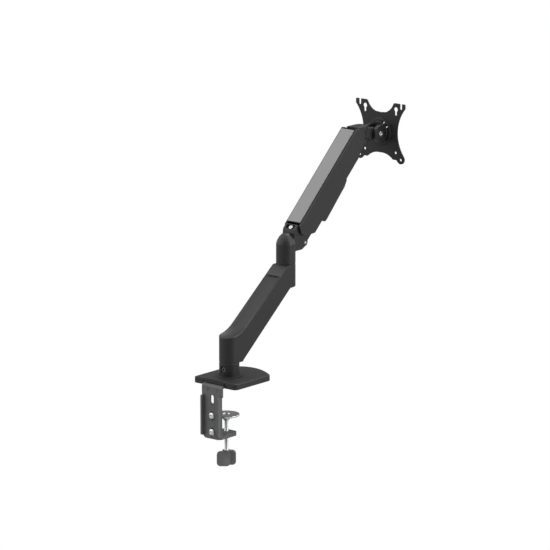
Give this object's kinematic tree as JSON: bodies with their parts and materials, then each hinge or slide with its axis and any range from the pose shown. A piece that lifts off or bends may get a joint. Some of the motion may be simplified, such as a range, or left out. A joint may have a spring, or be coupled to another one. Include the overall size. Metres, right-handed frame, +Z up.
{
  "type": "monitor arm",
  "caption": "Desk-clamp monitor arm with a fixed lower arm, a gas-spring upper arm and a tilting, rotating screen plate.",
  "frame": {"origin": "on the desk top, on the axis of the base post", "axes": "+Z up; +X the way the arm reaches over the desk; the clamp and the desk's edge are on the -X side"},
  "size_m": [0.5095, 0.12, 0.626],
  "materials": {
    "cast_black": "fine-textured satin powder coat",
    "post_black": "satin black",
    "moulded_black": "fine moulded grain",
    "channel_black": "satin black",
    "cover_grey": "satin graphite grey",
    "bracket_grey": "satin dark grey powder coat",
    "plate_black": "satin black powder coat",
    "zinc": "bright zinc plate",
    "steel_dark": "black oxide",
    "bush_plastic": "acetal",
    "knob_plastic": "moulded grain",
    "foam": "closed-cell foam",
    "spring_black": "gloss black",
    "rod_chrome": "hard chrome"
  },
  "bodies": {
    "base": {"rear_bracket": "bracket_grey", "jaw_bracket": "bracket_grey", "clamp_nut": "zinc", "jaw_screws": "zinc", "base_cover": "moulded_black", "desk_pads": "foam", "cover_feet": "moulded_black", "post": "post_black", "set_screw": "steel_dark", "skirt_ring": "post_black", "post_screws": "zinc"},
    "clamp_pad": {"pressure_disc": "zinc"},
    "clamp_screw": {"clamp_screw": "zinc", "clamp_knob": "knob_plastic"},
    "lower_arm": {"lower_arm": "cast_black", "post_bush": "bush_plastic", "post_washer": "bush_plastic", "lower_cable_cover": "moulded_black", "elbow_bush": "bush_plastic", "elbow_washer": "bush_plastic"},
    "elbow": {"elbow_bracket": "cast_black", "elbow_screw": "steel_dark", "link_pins_elbow": "zinc"},
    "adjuster_screw": {"adjuster_screw": "zinc"},
    "adjuster_block": {"adjuster_block": "steel_dark"},
    "spring_arm": {"arm_channel": "channel_black", "arm_side_left": "moulded_black", "arm_side_right": "moulded_black", "arm_top_cover": "cover_grey", "arm_cable_cover": "moulded_black", "elbow_pivot_pins": "steel_dark", "head_pivot_pins": "steel_dark", "spring_pin": "steel_dark"},
    "spring_cylinder": {"gas_cylinder": "spring_black"},
    "spring_rod": {"gas_rod": "rod_chrome", "rod_shoe": "bush_plastic"},
    "lower_link": {"lower_link": "channel_black"},
    "head": {"head_bracket": "cast_black", "link_pins_head": "steel_dark", "swivel_pin": "steel_dark"},
    "knuckle": {"swivel_knuckle": "cast_black"},
    "tilt_hub": {"tilt_hub": "cast_black", "tilt_bolt": "zinc", "rotation_bolt": "steel_dark", "friction_washer": "bush_plastic"},
    "screen_plate": {"screen_plate": "plate_black"}
  },
  "joints": [
    {"name": "clamp_pad_slide", "type": "slide", "parent": "base", "child": "clamp_pad", "axis": [0, 0, 1], "range_m": [-0.012, 0.025]},
    {"name": "clamp_screw_turn", "type": "hinge", "parent": "clamp_pad", "child": "clamp_screw", "pos_m": [-0.009, 0, -0.13], "axis": [0, 0, 1], "range_deg": [-3456, 7200]},
    {"name": "base_swivel", "type": "hinge", "parent": "base", "child": "lower_arm", "pos_m": [0, 0, 0.039], "axis": [0, 0, 1], "range_deg": [-180, 180]},
    {"name": "elbow_swivel", "type": "hinge", "parent": "lower_arm", "child": "elbow", "pos_m": [0.165, 0, 0.1985], "axis": [0, 0, 1], "range_deg": [-90, 90]},
    {"name": "adjuster_turn", "type": "hinge", "parent": "elbow", "child": "adjuster_screw", "pos_m": [0.17813, 0, 0.26794], "axis": [-0.6858, 0, 0.7278], "range_deg": [0, 1980]},
    {"name": "adjuster_travel", "type": "slide", "parent": "elbow", "child": "adjuster_block", "axis": [-0.6858, 0, 0.7278], "range_m": [0, 0.0055]},
    {"name": "arm_lift", "type": "hinge", "parent": "elbow", "child": "spring_arm", "pos_m": [0.2054, 0, 0.2597], "axis": [0, -1, 0], "range_deg": [-68, 5]},
    {"name": "link_swing", "type": "hinge", "parent": "elbow", "child": "lower_link", "pos_m": [0.206, 0, 0.2345], "axis": [0, -1, 0], "range_deg": [-68, 5]},
    {"name": "head_level", "type": "hinge", "parent": "spring_arm", "child": "head", "pos_m": [0.36697, 0, 0.41195], "axis": [0, -1, 0], "range_deg": [-5, 68]},
    {"name": "spring_rock", "type": "hinge", "parent": "spring_arm", "child": "spring_cylinder", "pos_m": [0.34299, 0, 0.39073], "axis": [0, -1, 0], "range_deg": [-3, 3]},
    {"name": "spring_stroke", "type": "slide", "parent": "spring_cylinder", "child": "spring_rod", "axis": [0.6879, 0, 0.7258], "range_m": [-0.002, 0.022]},
    {"name": "head_swivel", "type": "hinge", "parent": "head", "child": "knuckle", "pos_m": [0.388, 0, 0.413], "axis": [0, 0, 1], "range_deg": [-75, 75]},
    {"name": "screen_tilt", "type": "hinge", "parent": "knuckle", "child": "tilt_hub", "pos_m": [0.431, 0, 0.41], "axis": [0, -1, 0], "range_deg": [-45, 45]},
    {"name": "screen_rotation", "type": "hinge", "parent": "tilt_hub", "child": "screen_plate", "pos_m": [0.4495, 0, 0.41], "axis": [1, 0, 0], "range_deg": [-180, 180]}
  ],
  "couplings": [
    {"joint": "clamp_screw_turn", "follows": "clamp_pad_slide", "rad_per_m": 5026.5},
    {"joint": "adjuster_turn", "follows": "adjuster_travel", "rad_per_m": 6283.2},
    {"joint": "link_swing", "follows": "arm_lift", "ratio": 1},
    {"joint": "head_level", "follows": "arm_lift", "ratio": -1},
    {"joint": "spring_stroke", "follows": "arm_lift", "m_per_rad": -0.012605},
    {"joint": "spring_rock", "follows": "arm_lift", "ratio": -0.019}
  ]
}
